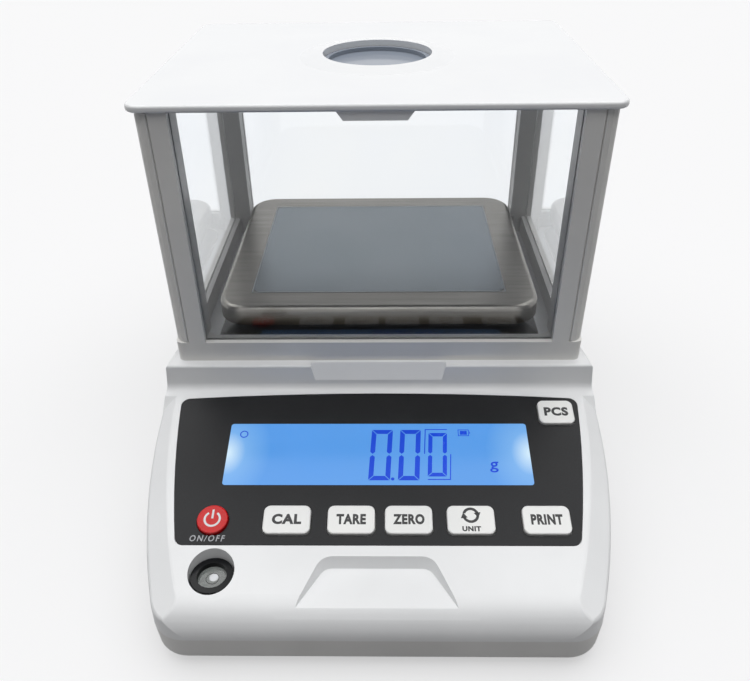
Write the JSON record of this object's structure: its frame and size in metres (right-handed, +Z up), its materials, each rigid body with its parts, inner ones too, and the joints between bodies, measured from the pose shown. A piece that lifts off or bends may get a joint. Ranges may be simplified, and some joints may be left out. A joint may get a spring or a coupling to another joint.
{
  "type": "precision balance",
  "caption": "Electronic precision balance with a sloping keypad and display, a steel pan in a glazed draught shield with a lift-off lid, and levelling feet.",
  "frame": {"origin": "on the table, under the middle of the body's outline", "axes": "+Z up, +X to the user's right, the keypad faces -Y"},
  "size_m": [0.1912, 0.26, 0.178],
  "materials": {
    "white_plastic": "satin",
    "grey_plastic": "satin",
    "overlay_film": "semi-gloss film",
    "clear_window": "clear",
    "display_glass": "blue, backlit",
    "backlight": "diffuse white",
    "white_key": "satin",
    "red_key": "satin",
    "circuit_board": "satin",
    "black_plastic": "satin",
    "clear_vial": "clear",
    "level_fluid": "liquid",
    "frame_plastic": "satin",
    "pane_glass": "clear",
    "lid_plastic": "gloss",
    "smoked_cover": "gloss",
    "pan_steel": "brushed",
    "clear_film": "clear film",
    "aluminium": "cast and machined",
    "rubber": "matt",
    "zinc_steel": "zinc plated",
    "brass": "turned",
    "battery_case": "satin"
  },
  "bodies": {
    "balance": {"battery_door": "grey_plastic", "battery_pack": "battery_case", "board_screws": "zinc_steel", "case_screws": "zinc_steel", "dc_jack": "black_plastic", "display_board": "circuit_board", "display_glass": "display_glass", "display_module": "backlight", "display_window": "clear_window", "foot_inserts": "brass", "key_switches": "black_plastic", "keypad_overlay": "overlay_film", "level_fluid": "level_fluid", "level_ring": "black_plastic", "level_vial": "clear_vial", "load_cell": "aluminium", "load_cell_base": "aluminium", "load_cell_screws": "zinc_steel", "lower_housing": "grey_plastic", "main_board": "circuit_board", "pan_support": "aluminium", "serial_port": "zinc_steel", "support_pads": "rubber", "under_pan_plate": "black_plastic", "upper_housing": "white_plastic"},
    "shield": {"shield_frame": "frame_plastic", "front_left_post": "frame_plastic", "front_right_post": "frame_plastic", "rear_left_post": "frame_plastic", "rear_right_post": "frame_plastic", "front_pane": "pane_glass", "back_pane": "pane_glass", "left_pane": "pane_glass", "right_pane": "pane_glass", "post_screws": "zinc_steel"},
    "lid_body": {"lid": "lid_plastic"},
    "cover_body": {"hole_cover": "smoked_cover"},
    "pan_body": {"pan": "pan_steel", "pan_film": "clear_film"},
    "cal_key_body": {"cal_key": "white_key"},
    "tare_key_body": {"tare_key": "white_key"},
    "zero_key_body": {"zero_key": "white_key"},
    "unit_key_body": {"unit_key": "white_key"},
    "print_key_body": {"print_key": "white_key"},
    "pcs_key_body": {"pcs_key": "white_key"},
    "power_key_body": {"power_key": "red_key"},
    "front_left_foot_body": {"front_left_foot": "black_plastic", "front_left_foot_pad": "rubber"},
    "front_right_foot_body": {"front_right_foot": "black_plastic", "front_right_foot_pad": "rubber"},
    "rear_left_foot_body": {"rear_left_foot": "black_plastic", "rear_left_foot_pad": "rubber"},
    "rear_right_foot_body": {"rear_right_foot": "black_plastic", "rear_right_foot_pad": "rubber"}
  },
  "joints": [
    {"name": "shield_lift", "type": "slide", "parent": "balance", "child": "shield", "axis": [0, 0, 1], "range_m": [0, 0.12]},
    {"name": "lid_lift", "type": "slide", "parent": "shield", "child": "lid_body", "axis": [0, 0, 1], "range_m": [0, 0.08]},
    {"name": "cover_lift", "type": "slide", "parent": "lid_body", "child": "cover_body", "axis": [0, 0, 1], "range_m": [0, 0.05]},
    {"name": "pan_lift", "type": "slide", "parent": "balance", "child": "pan_body", "axis": [0, 0, 1], "range_m": [0, 0.06]},
    {"name": "cal_key_press", "type": "slide", "parent": "balance", "child": "cal_key_body", "axis": [0, 0.2588, -0.9659], "range_m": [0, 0.0008], "stiffness_N_per_m": 400, "springref_m": -0.0004},
    {"name": "tare_key_press", "type": "slide", "parent": "balance", "child": "tare_key_body", "axis": [0, 0.2588, -0.9659], "range_m": [0, 0.0008], "stiffness_N_per_m": 400, "springref_m": -0.0004},
    {"name": "zero_key_press", "type": "slide", "parent": "balance", "child": "zero_key_body", "axis": [0, 0.2588, -0.9659], "range_m": [0, 0.0008], "stiffness_N_per_m": 400, "springref_m": -0.0004},
    {"name": "unit_key_press", "type": "slide", "parent": "balance", "child": "unit_key_body", "axis": [0, 0.2588, -0.9659], "range_m": [0, 0.0008], "stiffness_N_per_m": 400, "springref_m": -0.0004},
    {"name": "print_key_press", "type": "slide", "parent": "balance", "child": "print_key_body", "axis": [0, 0.2588, -0.9659], "range_m": [0, 0.0008], "stiffness_N_per_m": 400, "springref_m": -0.0004},
    {"name": "pcs_key_press", "type": "slide", "parent": "balance", "child": "pcs_key_body", "axis": [0, 0.2588, -0.9659], "range_m": [0, 0.0008], "stiffness_N_per_m": 400, "springref_m": -0.0004},
    {"name": "power_key_press", "type": "slide", "parent": "balance", "child": "power_key_body", "axis": [0, 0.2588, -0.9659], "range_m": [0, 0.0008], "stiffness_N_per_m": 400, "springref_m": -0.0004},
    {"name": "front_left_foot_turn", "type": "hinge", "parent": "balance", "child": "front_left_foot_body", "pos_m": [-0.072, -0.104, 0.005], "axis": [0, 0, 1], "continuous": true},
    {"name": "front_right_foot_turn", "type": "hinge", "parent": "balance", "child": "front_right_foot_body", "pos_m": [0.072, -0.104, 0.005], "axis": [0, 0, 1], "continuous": true},
    {"name": "rear_left_foot_turn", "type": "hinge", "parent": "balance", "child": "rear_left_foot_body", "pos_m": [-0.072, 0.104, 0.005], "axis": [0, 0, 1], "continuous": true},
    {"name": "rear_right_foot_turn", "type": "hinge", "parent": "balance", "child": "rear_right_foot_body", "pos_m": [0.072, 0.104, 0.005], "axis": [0, 0, 1], "continuous": true}
  ]
}
